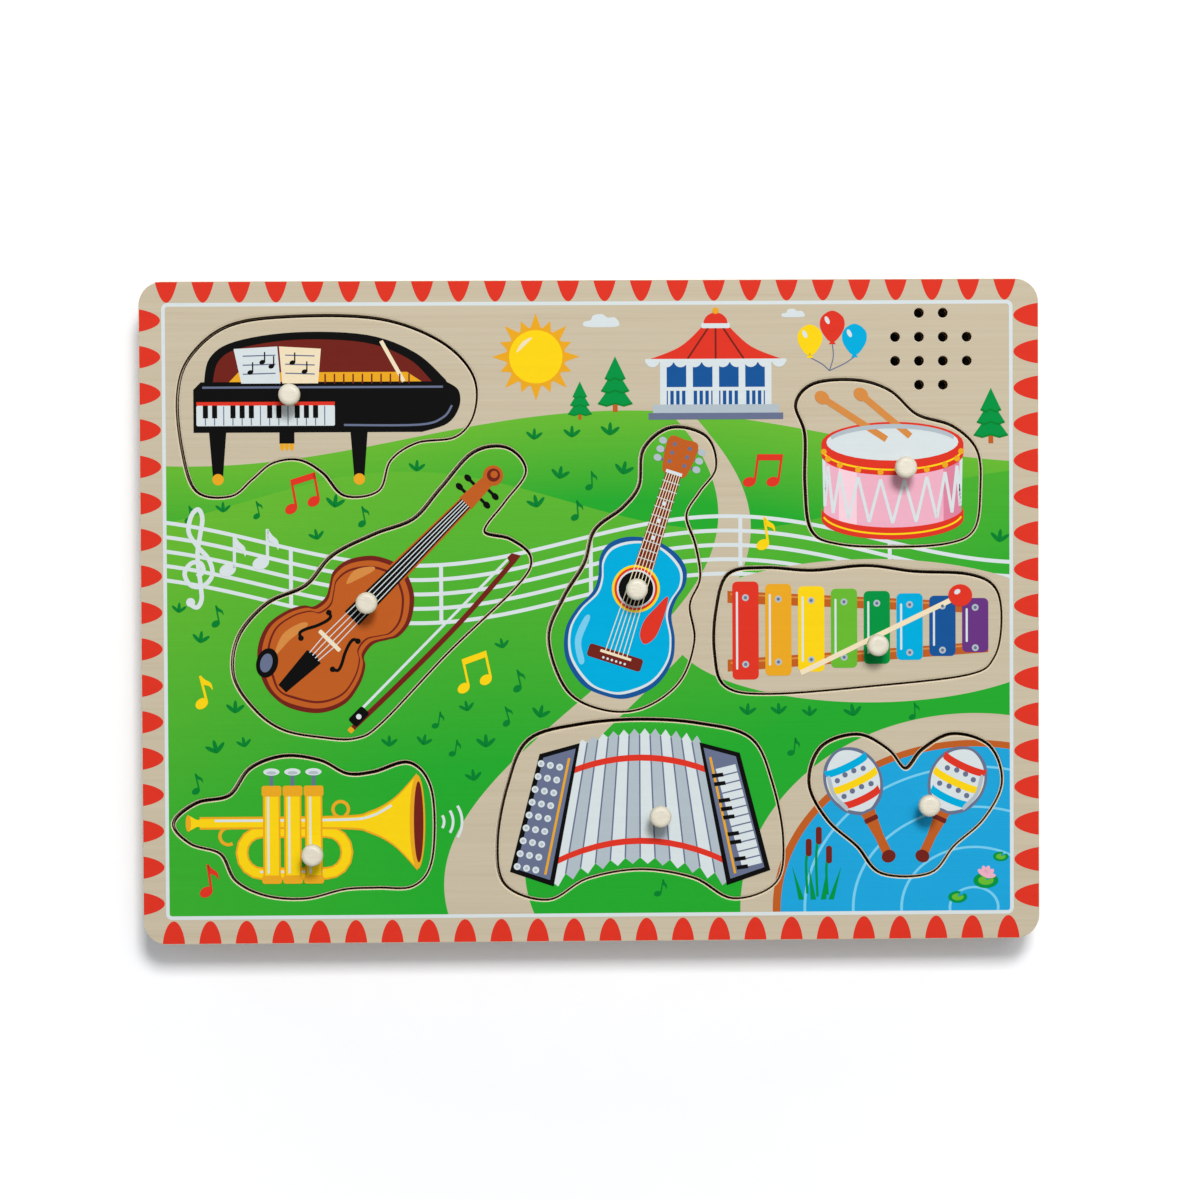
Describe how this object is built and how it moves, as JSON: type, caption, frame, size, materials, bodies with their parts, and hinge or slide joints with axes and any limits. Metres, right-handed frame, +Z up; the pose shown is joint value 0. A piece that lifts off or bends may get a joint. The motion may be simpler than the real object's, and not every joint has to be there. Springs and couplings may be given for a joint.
{
  "type": "sound puzzle",
  "caption": "Wooden peg puzzle board whose shaped instrument pieces lift out over light sensors, with a speaker, sound board, battery bay and slide switch inside.",
  "frame": {"origin": "middle of the underside, on the surface that the board lies on", "axes": "+X to the right along the long edge, +Y towards the rear edge, +Z up through the pegs"},
  "size_m": [0.3, 0.221, 0.034],
  "materials": {
    "printed_face": "birch plywood with a printed picture under satin lacquer",
    "printed_piece": "birch plywood with a printed picture under satin lacquer",
    "peg_wood": "turned pale beech, satin lacquer",
    "floor_plywood": "thin plywood with a printed picture in each recess",
    "core_wood": "sawn softwood",
    "back_board": "plain hardboard",
    "screw_steel": "zinc plated",
    "contact_steel": "nickel plated spring steel",
    "foam_rubber": "soft foam",
    "basket_metal": "plated steel",
    "magnet_ferrite": "ground ferrite",
    "cone_paper": "pressed paper",
    "circuit_board": "glass-epoxy laminate under solder mask",
    "black_resin": "potting resin",
    "white_plastic": "moulded",
    "red_insulation": "PVC insulation",
    "black_insulation": "PVC insulation",
    "black_plastic": "moulded ABS",
    "cell_sleeve": "printed sleeve over a metal can",
    "sensor_lens": "dark lens"
  },
  "bodies": {
    "board": {"face_panel": "printed_face", "floor_panel": "floor_plywood", "front_rail": "core_wood", "rear_rail": "core_wood", "left_rail": "core_wood", "right_rail": "core_wood", "support_blocks": "core_wood", "speaker_clips": "core_wood", "back_cover": "back_board", "back_cover_screws": "screw_steel", "board_screws": "screw_steel", "battery_contacts": "contact_steel", "battery_springs": "contact_steel", "speaker_gasket": "foam_rubber", "speaker_surround": "foam_rubber", "speaker_basket": "basket_metal", "speaker_magnet": "magnet_ferrite", "sound_board": "circuit_board", "sound_chip": "black_resin", "board_parts": "black_resin", "board_spacers": "white_plastic", "sensor_leads": "red_insulation", "battery_leads": "red_insulation", "speaker_leads": "black_insulation", "battery_box": "black_plastic", "switch_body": "black_plastic", "upper_cell": "cell_sleeve", "lower_cell": "cell_sleeve", "piano_sensor": "sensor_lens", "violin_sensor": "sensor_lens", "guitar_sensor": "sensor_lens", "drum_sensor": "sensor_lens", "xylophone_sensor": "sensor_lens", "trumpet_sensor": "sensor_lens", "accordion_sensor": "sensor_lens", "maracas_sensor": "sensor_lens"},
    "piano": {"piano_piece": "printed_piece", "piano_peg": "peg_wood"},
    "violin": {"violin_piece": "printed_piece", "violin_peg": "peg_wood"},
    "guitar": {"guitar_piece": "printed_piece", "guitar_peg": "peg_wood"},
    "drum": {"drum_piece": "printed_piece", "drum_peg": "peg_wood"},
    "xylophone": {"xylophone_piece": "printed_piece", "xylophone_peg": "peg_wood"},
    "trumpet": {"trumpet_piece": "printed_piece", "trumpet_peg": "peg_wood"},
    "accordion": {"accordion_piece": "printed_piece", "accordion_peg": "peg_wood"},
    "maracas": {"maracas_piece": "printed_piece", "maracas_peg": "peg_wood"},
    "door": {"battery_door": "black_plastic", "door_screw": "screw_steel"},
    "switch": {"switch_slider": "white_plastic"},
    "cone": {"speaker_cone": "cone_paper"}
  },
  "joints": [
    {"name": "piano_lift", "type": "slide", "parent": "board", "child": "piano", "axis": [0, 0, 1], "range_m": [0, 0.04]},
    {"name": "violin_lift", "type": "slide", "parent": "board", "child": "violin", "axis": [0, 0, 1], "range_m": [0, 0.04]},
    {"name": "guitar_lift", "type": "slide", "parent": "board", "child": "guitar", "axis": [0, 0, 1], "range_m": [0, 0.04]},
    {"name": "drum_lift", "type": "slide", "parent": "board", "child": "drum", "axis": [0, 0, 1], "range_m": [0, 0.04]},
    {"name": "xylophone_lift", "type": "slide", "parent": "board", "child": "xylophone", "axis": [0, 0, 1], "range_m": [0, 0.04]},
    {"name": "trumpet_lift", "type": "slide", "parent": "board", "child": "trumpet", "axis": [0, 0, 1], "range_m": [0, 0.04]},
    {"name": "accordion_lift", "type": "slide", "parent": "board", "child": "accordion", "axis": [0, 0, 1], "range_m": [0, 0.04]},
    {"name": "maracas_lift", "type": "slide", "parent": "board", "child": "maracas", "axis": [0, 0, 1], "range_m": [0, 0.04]},
    {"name": "battery_door_lift", "type": "slide", "parent": "board", "child": "door", "axis": [0, 0, -1], "range_m": [0, 0.03]},
    {"name": "power_switch", "type": "slide", "parent": "board", "child": "switch", "axis": [1, 0, 0], "range_m": [0, 0.003]},
    {"name": "cone_travel", "type": "slide", "parent": "board", "child": "cone", "axis": [0, 0, 1], "range_m": [-0.0003, 0.0003], "stiffness_N_per_m": 500}
  ]
}
